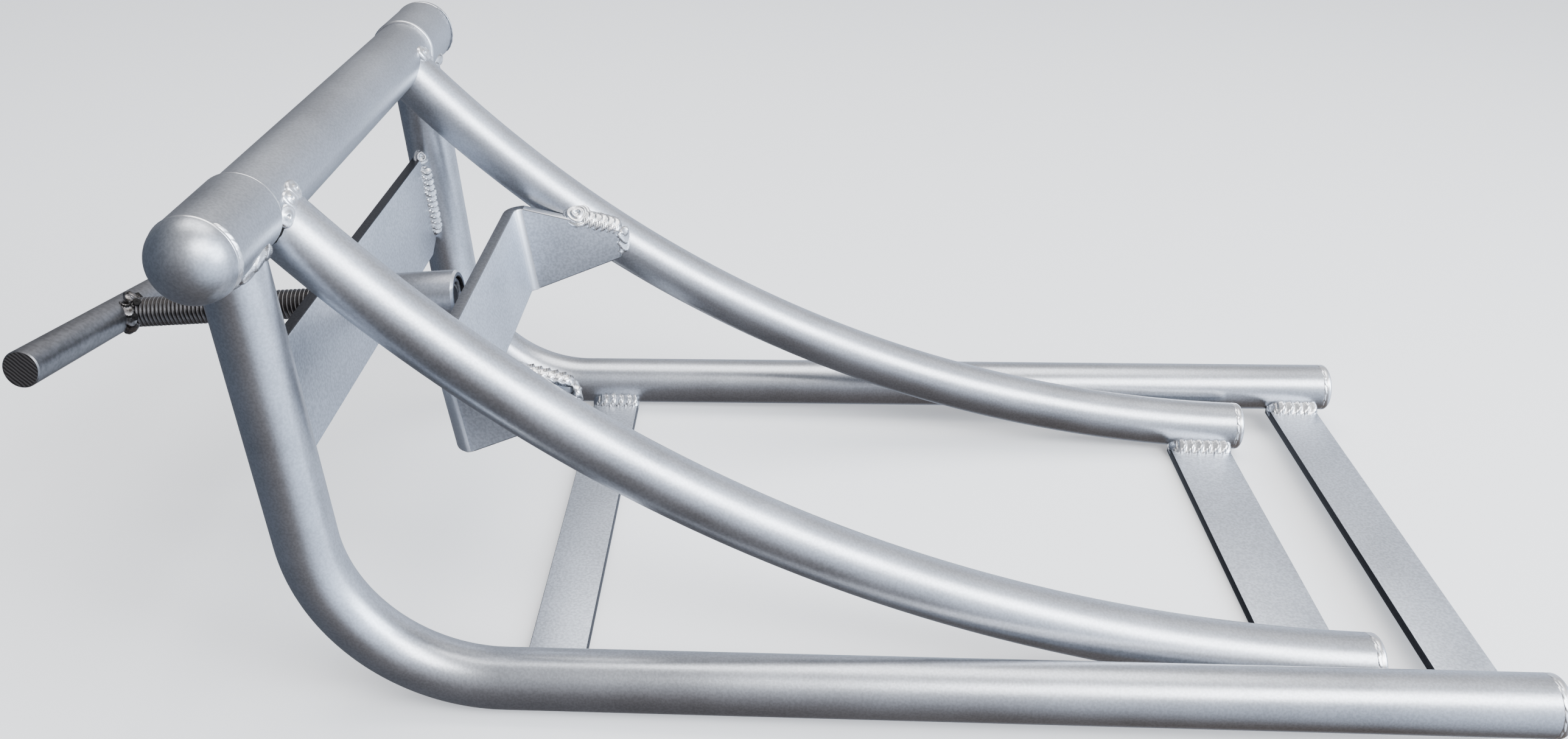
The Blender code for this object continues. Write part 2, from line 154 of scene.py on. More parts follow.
# STAND turns the rails' own axes, with +X along the rails, into the frame's, where the stand is raked
SCREW_AXIS = Vector(joint("screw_turn")["axis"]).normalized()
SCREW_POINT = Vector(joint("screw_turn")["pos_m"])
RAKE = math.asin(SCREW_AXIS.z) - LEG_LEAN
STAND = (Matrix.Translation(box_centre("top_bar")) @ Matrix.Rotation(-RAKE, 4, 'Y')
         @ Matrix.Translation((-BAR_X, 0, -BAR_Z)))
INTO_STAND = STAND.inverted()
ALONG_LEG = Vector((math.sin(LEG_LEAN), 0, -math.cos(LEG_LEAN)))
ALONG_SCREW = Vector((math.cos(LEG_LEAN), 0, math.sin(LEG_LEAN)))
BAR_AXIS = Vector((BAR_X, 0, BAR_Z))
SCREW_ORIGIN = INTO_STAND @ SCREW_POINT
ACROSS = Vector((0, 1, 0))
Z_AXIS = Vector((0, 0, 1))
SIDES = (("near", -1), ("far", 1))


def stand_centre(node):
    return INTO_STAND @ box_centre(node)


def corners_of(node, into):
    """A CAD node's corners in the axes that into leads to."""
    return [into @ vertex.co for vertex in frame["nodes"][node].data.vertices]


# ---------------------------------------------------------------- materials

def shader_material(name, colour, metallic, roughness):
    material = bpy.data.materials.new(name)
    material.use_nodes = True
    shader = material.node_tree.nodes["Principled BSDF"]
    shader.inputs["Base Color"].default_value = (*colour, 1)
    shader.inputs["Metallic"].default_value = metallic
    shader.inputs["Roughness"].default_value = roughness
    return material, material.node_tree.nodes, material.node_tree.links, shader


def noise(nodes, links, coords, scale, detail=3.0, stretch=None):
    """Noise on Object coordinates. stretch scales the coordinates first, to draw the grain out."""
    texture = nodes.new("ShaderNodeTexNoise")
    texture.inputs["Scale"].default_value = scale
    texture.inputs["Detail"].default_value = detail
    source = coords
    if stretch:
        mapping = nodes.new("ShaderNodeMapping")
        mapping.inputs["Scale"].default_value = stretch
        links.new(coords, mapping.inputs["Vector"])
        source = mapping.outputs["Vector"]
    links.new(source, texture.inputs["Vector"])
    return texture.outputs["Fac"]


def remap(nodes, links, value, low, high, to_low, to_high):
    node = nodes.new("ShaderNodeMapRange")
    node.inputs["From Min"].default_value = low
    node.inputs["From Max"].default_value = high
    node.inputs["To Min"].default_value = to_low
    node.inputs["To Max"].default_value = to_high
    links.new(value, node.inputs["Value"])
    return node.outputs["Result"]


def mix_colour(nodes, links, factor, first, second):
    node = nodes.new("ShaderNodeMix")
    node.data_type = 'RGBA'
    for socket, colour in (("A", first), ("B", second)):
        target = next(s for s in node.inputs if s.name == socket and s.type == 'RGBA')
        if isinstance(colour, tuple):
            target.default_value = (*colour, 1)
        else:
            links.new(colour, target)
    links.new(factor, node.inputs["Factor"])
    return next(s for s in node.outputs if s.type == 'RGBA')


def add_up(nodes, links, *values):
    total = values[0]
    for value in values[1:]:
        node = nodes.new("ShaderNodeMath")
        node.operation = 'ADD'
        links.new(total, node.inputs[0])
        links.new(value, node.inputs[1])
        total = node.outputs[0]
    return total


def bump(nodes, links, shader, height, distance):
    node = nodes.new("ShaderNodeBump")
    node.inputs["Distance"].default_value = distance
    links.new(height, node.inputs["Height"])
    links.new(node.outputs["Normal"], shader.inputs["Normal"])


def blasted_metal(name, dark, light, roughness, grain=780.0, relief=0.00003, streak=None, speckle=0.16):
    """Satin metal: fine blasted grain, broad cloudy patches and, on tubes, faint drawn streaks."""
    material, nodes, links, shader = shader_material(name, light, 1.0, roughness)
    coords = nodes.new("ShaderNodeTexCoord").outputs["Object"]
    fine = noise(nodes, links, coords, grain, 2.0)
    cloud = noise(nodes, links, coords, 14.0, 4.0)
    tone = add_up(nodes, links, remap(nodes, links, fine, 0.38, 0.62, -speckle, speckle),
                  remap(nodes, links, cloud, 0.3, 0.7, 0.42, 0.7))
    if streak:
        drawn = noise(nodes, links, coords, 1.0, 3.0, streak)
        tone = add_up(nodes, links, tone, remap(nodes, links, drawn, 0.3, 0.7, -0.12, 0.12))
    links.new(mix_colour(nodes, links, tone, dark, light), shader.inputs["Base Color"])
    links.new(remap(nodes, links, cloud, 0.3, 0.7, roughness - 0.03, roughness + 0.05),
              shader.inputs["Roughness"])
    bump(nodes, links, shader, fine, relief)
    return material


def weld_metal(name, dark, light, roughness):
    """Cast surface of a weld, darker and rougher in patches."""
    material, nodes, links, shader = shader_material(name, light, 1.0, roughness)
    coords = nodes.new("ShaderNodeTexCoord").outputs["Object"]
    patch = noise(nodes, links, coords, 260.0, 4.0)
    fine = noise(nodes, links, coords, 1400.0, 2.0)
    links.new(mix_colour(nodes, links, remap(nodes, links, patch, 0.35, 0.6, 0, 1), dark, light),
              shader.inputs["Base Color"])
    links.new(remap(nodes, links, patch, 0.3, 0.7, roughness + 0.12, roughness - 0.08),
              shader.inputs["Roughness"])
    bump(nodes, links, shader, add_up(nodes, links, patch, fine), 0.00008)
    return material


def sawn_steel(name):
    """Hot rolled bar end, with the wavy marks that the saw left across the cut."""
    material, nodes, links, shader = shader_material(name, (0.2, 0.19, 0.185), 1.0, 0.5)
    coords = nodes.new("ShaderNodeTexCoord").outputs["Object"]
    wave = nodes.new("ShaderNodeTexWave")
    wave.bands_direction = 'DIAGONAL'
    wave.inputs["Scale"].default_value = 230.0
    wave.inputs["Distortion"].default_value = 2.0
    wave.inputs["Detail"].default_value = 3.0
    links.new(coords, wave.inputs["Vector"])
    links.new(mix_colour(nodes, links, wave.outputs["Fac"], (0.07, 0.065, 0.062), (0.20, 0.19, 0.188)),
              shader.inputs["Base Color"])
    bump(nodes, links, shader, wave.outputs["Fac"], 0.0001)
    return material


BAR_SATIN = blasted_metal("bar_satin", (0.33, 0.34, 0.36), (0.59, 0.61, 0.65), 0.37, streak=(90, 4, 90))
TUBE_SATIN = blasted_metal("tube_satin", (0.37, 0.38, 0.40), (0.67, 0.69, 0.735), 0.33, streak=(4, 90, 90))
PLATE_BLASTED = blasted_metal("plate_blasted", (0.42, 0.445, 0.49), (0.76, 0.80, 0.87), 0.46, 620.0, 0.0001,
                              speckle=0.22)
CUT_EDGE = blasted_metal("cut_edge", (0.04, 0.04, 0.045), (0.11, 0.11, 0.12), 0.5, 900.0)
SHEARED_EDGE = blasted_metal("sheared_edge", (0.10, 0.10, 0.11), (0.24, 0.245, 0.26), 0.5, 700.0)
# Painted highlight, laid on the bracket's bends and along its wings' top edges where the light catches them.
PAINTED_BEND_HIGHLIGHT = blasted_metal("painted_bend_highlight", (0.76, 0.77, 0.80), (0.95, 0.95, 0.96), 0.34, 900.0)
# Bright ground metal on the tube plugs, their welds and the dome seams; also a painted highlight on the
# boss's rim and on the rings at the sleeves' inner ends.
GROUND_AND_HIGHLIGHT = blasted_metal("ground_and_highlight", (0.66, 0.66, 0.67), (0.92, 0.92, 0.93), 0.28, 700.0,
                              streak=(30, 260, 60))
BOSS_TURNED = blasted_metal("boss_turned", (0.30, 0.30, 0.32), (0.54, 0.55, 0.58), 0.34,
                            streak=(500, 12, 12))
PAD_TURNED = blasted_metal("pad_turned", (0.40, 0.40, 0.41), (0.62, 0.62, 0.63), 0.30, streak=(600, 12, 12))
# Black steel of the screw and thread roots; the boss also uses it as painted shade inside its guide.
BLACK_STEEL_AND_BORE_SHADE = blasted_metal("black_steel", (0.045, 0.04, 0.04), (0.13, 0.12, 0.115), 0.36, 1100.0)
CREST_STEEL = blasted_metal("crest_steel", (0.50, 0.48, 0.46), (0.78, 0.76, 0.74), 0.28, 1100.0)
MILL_SCALE = blasted_metal("mill_scale", (0.13, 0.128, 0.13), (0.31, 0.31, 0.325), 0.40, 420.0, 0.0001,
                           streak=(200, 8, 200))
SAWN_END = sawn_steel("sawn_end")
WELD_BRIGHT = weld_metal("weld_bright", (0.60, 0.60, 0.61), (0.96, 0.96, 0.97), 0.24)
# Near black painted shade: in the gap under each curved tube's saddle, in the creases between the T bar
# weld's ripples and in its pits.
PAINTED_SHADE_BLACK = blasted_metal("painted_shade_black", (0.015, 0.014, 0.014), (0.04, 0.038, 0.036), 0.7, 900.0)
WELD_SHADE = weld_metal("weld_shade", (0.16, 0.155, 0.155), (0.42, 0.41, 0.41), 0.36)
WELD_DARK = weld_metal("weld_dark", (0.035, 0.032, 0.03), (0.26, 0.245, 0.24), 0.32)


# ---------------------------------------------------------------- modelling

def deselect():
    if bpy.context.object and bpy.context.object.mode != 'OBJECT':
        bpy.ops.object.mode_set(mode='OBJECT')
    bpy.ops.object.select_all(action='DESELECT')


def edit_all():
    bpy.ops.object.mode_set(mode='EDIT')
    bpy.ops.mesh.select_mode(type='VERT')
    bpy.ops.mesh.select_all(action='SELECT')


def tidy_mesh():
    """Merges doubles, closes open ends and turns the faces outwards. Leaves edit mode."""
    bpy.ops.mesh.select_all(action='SELECT')
    bpy.ops.mesh.remove_doubles(threshold=DOUBLES)
    bpy.ops.mesh.fill_holes(sides=0)
    bpy.ops.mesh.normals_make_consistent(inside=False)
    bpy.ops.object.mode_set(mode='OBJECT')
    return bpy.context.object


def add_modifier(piece, kind, **settings):
    modifier = piece.modifiers.new(kind.title(), kind)
    for key, value in settings.items():
        setattr(modifier, key, value)
    bpy.context.view_layer.objects.active = piece
    bpy.ops.object.modifier_apply(modifier=modifier.name)


def finish(piece, name, materials, body, slot, nodes=(), place=STAND, smooth=40.0, paint=None):
    """Names a modelled piece, moves it into the stand and hands it to its body."""
    deselect()
    piece.select_set(True)
    bpy.context.view_layer.objects.active = piece
    bpy.ops.object.transform_apply(location=True, rotation=True, scale=True)
    piece.name = name
    piece.data.name = name
    bpy.ops.object.shade_smooth_by_angle(angle=math.radians(smooth))
    piece.data.materials.clear()
    for material in materials:
        piece.data.materials.append(material)
    if paint:
        for face in piece.data.polygons:
            face.material_index = paint(face.center, face.normal)
    piece.data.transform(place)
    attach(piece, body)
    if nodes:
        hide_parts(*nodes)
    return piece


def pipe(radius, start, heading, moves):
    """A closed tube: a ring pushed along straight runs (vectors) and spun round bends.

    A bend is (centre, angle, steps), about an axis along +Y.
    """
    deselect()
    turn = heading.to_track_quat('Z', 'Y').to_euler()
    bpy.ops.mesh.primitive_circle_add(vertices=ROUND, radius=radius, location=start, rotation=turn)
    bpy.ops.object.transform_apply(location=True, rotation=True, scale=True)
    edit_all()
    for move in moves:
        if isinstance(move, Vector):
            bpy.ops.mesh.extrude_edges_move(TRANSFORM_OT_translate={"value": move})
        else:
            centre, angle, steps = move
            bpy.ops.mesh.spin(steps=steps, angle=angle, center=centre, axis=(0, 1, 0))
    return tidy_mesh()


def drawn_line(points):
    """One vertex, extruded from point to point. Leaves edit mode on with the last one selected."""
    deselect()
    bpy.ops.mesh.primitive_plane_add(size=0.001, location=points[0])
    bpy.ops.object.transform_apply(location=True, rotation=True, scale=True)
    edit_all()
    bpy.ops.mesh.merge(type='CENTER')
    for before, after in zip(points, points[1:]):
        step = Vector(after) - Vector(before)
        bpy.ops.mesh.extrude_vertices_move(TRANSFORM_OT_translate={"value": step})


def turned(stations, closed=False):
    """A lathe: stations are (distance along +Z, radius), spun once round local Z.

    closed joins the last station to the first, for a piece with a bore.
    """
    drawn_line([(radius, 0, along) for along, radius in stations])
    bpy.ops.mesh.select_all(action='SELECT')
    if closed:
        bpy.ops.mesh.edge_face_add()
        bpy.ops.mesh.delete(type='ONLY_FACE')
        bpy.ops.mesh.select_all(action='SELECT')
    bpy.ops.mesh.spin(steps=ROUND, angle=math.tau, center=(0, 0, 0), axis=(0, 0, 1))
    return tidy_mesh()


def pointing(origin, direction, roll=ACROSS):
    """Local Z along direction and local Y as near to roll as it can be, in rails' axes."""
    z = direction.normalized()
    x = roll.cross(z).normalized()
    place = Matrix((x, z.cross(x), z)).transposed().to_4x4()
    place.translation = origin
    return place


def arc(centre_x, centre_y, radius, start, stop, steps):
    return [(centre_x + radius * math.cos(start + (stop - start) * i / steps),
             centre_y + radius * math.sin(start + (stop - start) * i / steps)) for i in range(steps + 1)]


def ring_path(radius, along, lean, steps=48):
    """A whole ring round local Z, and outward directions that lean along it."""
    ring = [(x, y, along) for x, y in arc(0, 0, radius, 0, math.tau, steps)]
    return ring, [(x, y, lean) for x, y, _ in ring]


def wobble(number):
    """The same small number from -0.5 to 0.5 each time it is asked for one."""
    value = math.sin(number * 12.9898) * 43758.5453
    return value - math.floor(value) - 0.5


def puddle_at(co, length, width, pitch, bow):
    """How far along the bead a point of the ball is, across it, and up, and where in its puddle."""
    share = math.acos(max(-1, min(1, co.z))) / math.pi
    flat = math.hypot(co.x, co.y)
    cross = co.x / flat if flat > 1e-6 else 0
    rise = co.y / flat if flat > 1e-6 else 0
    puddle = (share * length + bow * width * cross * cross) / pitch
    return share, cross, rise, math.floor(puddle), puddle - math.floor(puddle)


def weld_bead(name, path, ups, size, pitch=WELD_PITCH, bow=0.45, materials=None, body="stand",
              slot="end_cap", place=STAND, crater=True):
    """Overlapped weld ripples along path, each front bowed along the direction of travel.

    A ball's rings are spread along the path, and each ring becomes a low half-round section.
    size is (width, height), and ups are the directions that the bead faces at the path's points.
    """
    width, height = size
    points = [Vector(p) for p in path]
    normals = [Vector(u).normalized() for u in ups]
    runs = [(b - a).length for a, b in zip(points, points[1:])]
    length = sum(runs)
    deselect()
    rings = max(2 * PUDDLE_RINGS, int(length / pitch * PUDDLE_RINGS))
    bpy.ops.mesh.primitive_uv_sphere_add(segments=BEAD_SEGMENTS, ring_count=rings, radius=1.0)
    ball = bpy.context.object

    def at(distance):
        """The path's point, its heading and its up, this far along it."""
        index = 0
        while index < len(runs) - 1 and distance > runs[index]:
            distance -= runs[index]
            index += 1
        share = min(max(distance / runs[index], 0), 1)
        spot = points[index].lerp(points[index + 1], share)
        up = normals[index].lerp(normals[index + 1], share).normalized()
        return spot, (points[index + 1] - points[index]).normalized(), up

    # The front of each puddle takes the second material, painted shade in the crease before the next ripple.
    fronts = [puddle_at(face.center.normalized(), length, width, pitch, bow)[4] > PUDDLE_FRONT
              for face in ball.data.polygons]
    for vertex in ball.data.vertices:
        share, cross, rise, number, within = puddle_at(vertex.co, length, width, pitch, bow)
        taper = (1 - abs(2 * share - 1) ** 9) ** 0.5
        # the name's length gives neighbouring beads different ripples
        swell = 1 + 0.10 * wobble(number + 3 * len(name))
        lift = (0.78 + 0.30 * within ** 1.5 - 0.30 * max(0, within - 0.84) / 0.16) * swell
        spread = (0.90 + 0.14 * math.sin(math.pi * within)) * swell
        spot, along, up = at(share * length)
        side = along.cross(up).normalized()
        depth = height * (lift if rise > 0 else 0.6) * taper
        vertex.co = spot + side * (cross * width / 2 * taper * spread) + up * (rise * depth)
    if crater:
        dent(ball, at(0.35 * pitch)[0], at(0.0)[2], 0.28 * width, 0.35 * height)
    edit_all()
    bpy.ops.mesh.normals_make_consistent(inside=False)
    deselect()
    finish(ball, name, materials or [WELD_BRIGHT, WELD_SHADE], body, slot, place=place, smooth=75.0)
    if len(ball.data.materials) > 1:
        ball.data.polygons.foreach_set("material_index", [int(front) for front in fronts])
    return ball


def dent(piece, centre, up, radius, depth):
    """Presses a round pit into what faces up near centre."""
    for vertex in piece.data.vertices:
        offset = vertex.co - centre
        above = offset.dot(up)
        away = (offset - up * above).length
        if above > 0 and away < radius:
            vertex.co -= up * depth * (1 - (away / radius) ** 2)


def weld_button(name, centre, up, radius, height, rings=3, place=STAND, material=None, body="stand",
                slot="end_cap"):
    """A round start or stop of a weld, or one tack, with frozen rings round a small pit."""
    deselect()
    bpy.ops.mesh.primitive_uv_sphere_add(segments=40, ring_count=48, radius=1.0)
    ball = bpy.context.object
    seat = pointing(Vector(centre), Vector(up), Vector((0.31, 0.95, 0.1)))
    for vertex in ball.data.vertices:
        x, y, z = vertex.co
        away = math.hypot(x, y)
        ripple = 0.15 * math.cos(math.tau * rings * away + 0.9 * x) * (1 - away ** 4)
        pit = 0.6 * math.exp(-(away / 0.15) ** 2)
        lift = height * (z + (ripple - pit if z > 0 else 0))
        wide = radius * (1 + 0.06 * math.sin(3 * math.atan2(y, x) + centre[0] * 900))
        vertex.co = seat @ Vector((x * wide, y * wide, lift))
    return finish(ball, name, [material or WELD_BRIGHT], body, slot, place=place, smooth=75.0)


# ---------------------------------------------------------------- top bar

def top_bar():
    """Bar between two ground sleeves, each closed by a dome, with bright rings at both seams: at the sleeve's
    inner end a painted highlight on its edge, at the dome a ground seam that also carries a painted
    highlight.
    """
    wall = 0.003
    lap = 0.002
    step = 0.0006
    tube = turned([(-SLEEVE_OUT_Y, BAR_R - wall), (-SLEEVE_OUT_Y, BAR_R), (SLEEVE_OUT_Y, BAR_R),
                   (SLEEVE_OUT_Y, BAR_R - wall)])
    finish(tube, "bar_tube", [BAR_SATIN], "stand", "bar_tube", ["top_bar"],
           STAND @ pointing(BAR_AXIS, ACROSS, Z_AXIS))
    for side, sign in SIDES:
        place = STAND @ pointing(BAR_AXIS, ACROSS * sign, Z_AXIS)
        sleeve = turned([(SLEEVE_IN_Y, BAR_R - lap), (SLEEVE_IN_Y, SLEEVE_R - step),
                         (SLEEVE_IN_Y + step, SLEEVE_R), (SLEEVE_OUT_Y - step, SLEEVE_R),
                         (SLEEVE_OUT_Y, SLEEVE_R - step), (SLEEVE_OUT_Y, BAR_R - lap)])
        finish(sleeve, "sleeve_" + side, [BAR_SATIN], "stand", "bar_tube", ["end_sleeve_" + side], place)
        crown = [(SLEEVE_OUT_Y + DOME_DEPTH * math.sin(a), SLEEVE_R * math.cos(a))
                 for a in (math.pi / 2 * i / 24 for i in range(24))]
        crown.append((SLEEVE_OUT_Y + DOME_DEPTH, 0.0))
        dome = turned([(SLEEVE_OUT_Y - lap, 0.0), (SLEEVE_OUT_Y - lap, SLEEVE_R - 0.0004)] + crown)
        finish(dome, "dome_" + side, [BAR_SATIN], "stand", "bar_dome", ["end_dome_" + side], place)
        # Rings painted bright: the sleeve's lip is a painted highlight on its inner edge, the dome seam is a
        # ground seam with a painted highlight.
        for name, along, radius, thick in (("sleeve_lip_", SLEEVE_IN_Y, BAR_R + 0.0004, 0.0011),
                                           ("dome_seam_", SLEEVE_OUT_Y, SLEEVE_R - 0.0014, 0.0017)):
            deselect()
            bpy.ops.mesh.primitive_torus_add(major_radius=radius, minor_radius=thick, location=(0, 0, along),
                                             major_segments=ROUND, minor_segments=12)
            finish(bpy.context.object, name + side, [GROUND_AND_HIGHLIGHT], "stand", "bar_dome", place=place)


# ---------------------------------------------------------------- legs, rails and curved tubes

def bend_rear():
    """X where each leg's bend runs out into its rail, and the angle that the bend turns."""
    corner = BAR_X + (BAR_Z - TUBE_R) * math.tan(LEG_LEAN)
    turn = math.pi / 2 - LEG_LEAN
    return corner + BEND_R * math.tan(turn / 2), turn


def end_plug(name, node):
    """Disc welded into a tube end: ground face, soft rim and a ring of weld round it."""
    heading = end_heading(node)
    place = STAND @ pointing(stand_centre(node) + heading * 0.0050, heading)
    back = -0.0090
    rim_r = 0.0024
    shoulder = [(back, 0.0), (back, TUBE_R - rim_r - 0.0002), (-0.0030, TUBE_R - 0.0001)]
    rim = arc(0.0008 - rim_r, TUBE_R - rim_r, rim_r, math.pi / 2, 0, 8)
    face = [(0.0007, 0.0105), (0.0012, 0.0060), (0.0013, 0.0)]
    finish(turned(shoulder + rim + face), name, [GROUND_AND_HIGHLIGHT], "stand", "end_cap", [node], place)
    ring, ups = ring_path(TUBE_R - 0.0010, -0.0034, 0.004)
    weld_bead(name + "_weld", ring, ups, PLUG_BEAD, pitch=0.0052, bow=0.9, place=place,
              materials=[GROUND_AND_HIGHLIGHT], crater=False)


def end_heading(node):
    return Vector((1, 0, 0)) if node.startswith("rail") else heading_on_curve(stand_centre(node))


def curve_centre():
    """Middle of the curved tubes' arc, through the bar's axis and the tubes' rear ends."""
    end = stand_centre("curved_tube_cap_near")
    chord = Vector((end.x - BAR_X, end.z - BAR_Z))
    rise = math.sqrt(CURVE_R ** 2 - (chord.length / 2) ** 2)
    up = Vector((-chord.y, chord.x)).normalized()
    middle = Vector((BAR_X, BAR_Z)) + chord / 2 + up * rise
    return Vector((middle.x, 0, middle.y))


def curved_tube_height(x):
    """Height of the curved tubes' axis at x."""
    centre = curve_centre()
    return centre.z - math.sqrt(CURVE_R ** 2 - (x - centre.x) ** 2)


def heading_on_curve(point):
    spoke = Vector((point.x, 0, point.z)) - curve_centre()
    return Vector((-spoke.z, 0, spoke.x)).normalized()


def tubes():
    """Both legs with their rails, both curved tubes, and the plugs in their rear ends."""
    bend_end, turn = bend_rear()
    bend_centre = Vector((bend_end, 0, TUBE_R + BEND_R))
    bend_start = bend_centre - ALONG_SCREW * BEND_R
    centre = curve_centre()
    for side, sign in SIDES:
        y = ACROSS * RAIL_Y * sign
        rail_end = stand_centre("rail_cap_" + side).x
        leg = pipe(TUBE_R, BAR_AXIS + y, ALONG_LEG,
                   [bend_start - BAR_AXIS, (bend_centre + y, turn, 40), Vector((rail_end - bend_end, 0, 0))])
        finish(leg, "leg_rail_" + side + "_tube", [TUBE_SATIN], "stand", "frame_tube", ["leg_rail_" + side])
        end_plug("rail_plug_" + side, "rail_cap_" + side)

        y = ACROSS * CURVE_Y * sign
        end = stand_centre("curved_tube_cap_" + side)
        first = math.atan2(BAR_Z - centre.z, BAR_X - centre.x)
        last = math.atan2(end.z - centre.z, end.x - centre.x)
        start = BAR_AXIS + y
        brace = pipe(TUBE_R, start, heading_on_curve(start), [(centre + y, last - first, 96)])
        finish(brace, "brace_" + side, [TUBE_SATIN], "stand", "frame_tube", ["curved_tube_" + side])
        end_plug("brace_plug_" + side, "curved_tube_cap_" + side)


# ---------------------------------------------------------------- plates

def cut_edges(_centre, normal):
    """Paints a flat bar's edges dark. Its broad sides look along local Z."""
    return 0 if abs(normal.z) > 0.8 else 1


def straps():
    """Three flat bars across the stand. The middle one lies level on the floor."""
    into_tubes = Vector((0, 0.006, 0))
    for name in ("strap_front", "strap_middle", "strap_rear"):
        place = STAND if name != "strap_middle" else Matrix()
        corners = corners_of(name, place.inverted())
        low = Vector([min(c[i] for c in corners) for i in range(3)])
        high = Vector([max(c[i] for c in corners) for i in range(3)])
        deselect()
        bpy.ops.mesh.primitive_cube_add(size=1, location=(low + high) / 2, scale=high - low + into_tubes)
        bpy.ops.object.transform_apply(location=True, rotation=True, scale=True)
        strap = bpy.context.object
        add_modifier(strap, 'BEVEL', width=0.0006, segments=3)
        finish(strap, name + "_bar", [PLATE_BLASTED, CUT_EDGE], "stand", "flat_plate", [name], place,
               paint=cut_edges)


def screw_plate():
    """Flat bar between the legs, its lower corners nipped off, ends run up to the tubes."""
    bottom = (PLATE_BOTTOM_Z - SCREW_ORIGIN.z) / math.cos(LEG_LEAN)
    top = (PLATE_TOP_Z - SCREW_ORIGIN.z) / math.cos(LEG_LEAN)
    half = RAIL_Y - 0.008
    deselect()
    middle = (0, (top + bottom) / 2, -PLATE_SET_BACK - PLATE_T / 2)
    bpy.ops.mesh.primitive_cube_add(size=1, location=middle, scale=(2 * half, top - bottom, PLATE_T))
    bpy.ops.object.transform_apply(location=True, rotation=True, scale=True)
    edit_all()
    flat = RAIL_Y - TUBE_R - 2 * PLATE_CORNER
    for sign in (-1, 1):
        bpy.ops.mesh.select_all(action='SELECT')
        bpy.ops.mesh.bisect(plane_co=(sign * flat, bottom, 0), plane_no=(sign * 0.5, -1, 0), use_fill=True,
                            clear_outer=True)
    plate = tidy_mesh()
    add_modifier(plate, 'BEVEL', width=PLATE_EDGE, segments=3)
    place = STAND @ pointing(SCREW_ORIGIN, ALONG_SCREW, -ALONG_LEG)
    finish(plate, "screw_plate_bar", [PLATE_BLASTED, CUT_EDGE], "stand", "flat_plate", ["screw_plate"], place,
           paint=cut_edges)


